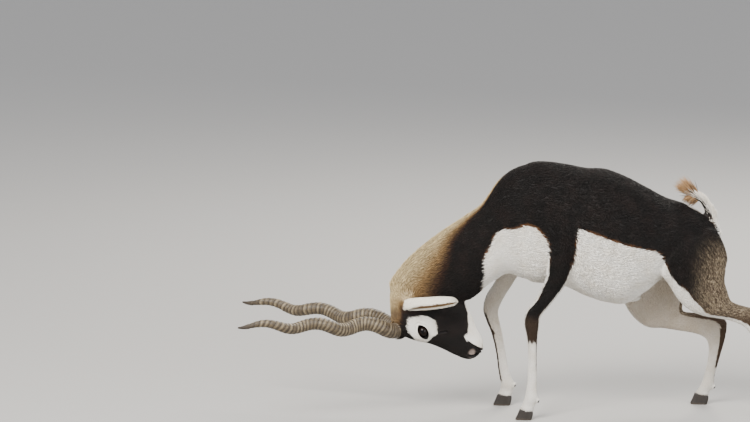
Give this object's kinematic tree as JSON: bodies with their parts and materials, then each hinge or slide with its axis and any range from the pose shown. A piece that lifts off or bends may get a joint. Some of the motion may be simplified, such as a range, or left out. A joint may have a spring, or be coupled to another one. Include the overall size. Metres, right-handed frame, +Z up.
{
  "type": "blackbuck model",
  "caption": "Life-size still model of a male blackbuck antelope, head lowered and pushing forward, with long ringed spiral horns, standing on its four feet.",
  "frame": {"origin": "The middle of the footprint of the whole model, on the floor that the eight claws stand on.", "axes": "The animal faces -X, with its nose and horns at -X and its tail at +X. Its left side is toward -Y and its right side toward +Y. +Z is up."},
  "size_m": [1.5704, 0.4194, 0.7401],
  "materials": {
    "dark_coat": "short dense black-brown hair",
    "pale_coat": "short dense white hair",
    "horn": "ridged grey-brown horn, satin on the ridges",
    "hoof": "smooth dark horn",
    "eye": "wet, glossy, very dark brown"
  },
  "bodies": {
    "root": {"torso": "dark_coat", "neck": "dark_coat", "head": "dark_coat", "eye_left": "eye", "eye_right": "eye", "ear_left": "pale_coat", "ear_right": "pale_coat", "horn_left": "horn", "horn_right": "horn", "tail": "dark_coat", "foreleg_left_upper": "dark_coat", "foreleg_left_lower": "pale_coat", "hindleg_left_thigh": "dark_coat", "hindleg_left_shank": "pale_coat", "hindleg_left_lower": "pale_coat", "foreleg_right_upper": "dark_coat", "foreleg_right_lower": "pale_coat", "hindleg_right_thigh": "dark_coat", "hindleg_right_shank": "pale_coat", "hindleg_right_lower": "pale_coat", "foreleg_left_hoof_a": "hoof", "foreleg_left_hoof_b": "hoof", "foreleg_right_hoof_a": "hoof", "foreleg_right_hoof_b": "hoof", "hindleg_left_hoof_a": "hoof", "hindleg_left_hoof_b": "hoof", "hindleg_right_hoof_a": "hoof", "hindleg_right_hoof_b": "hoof"}
  },
  "joints": []
}
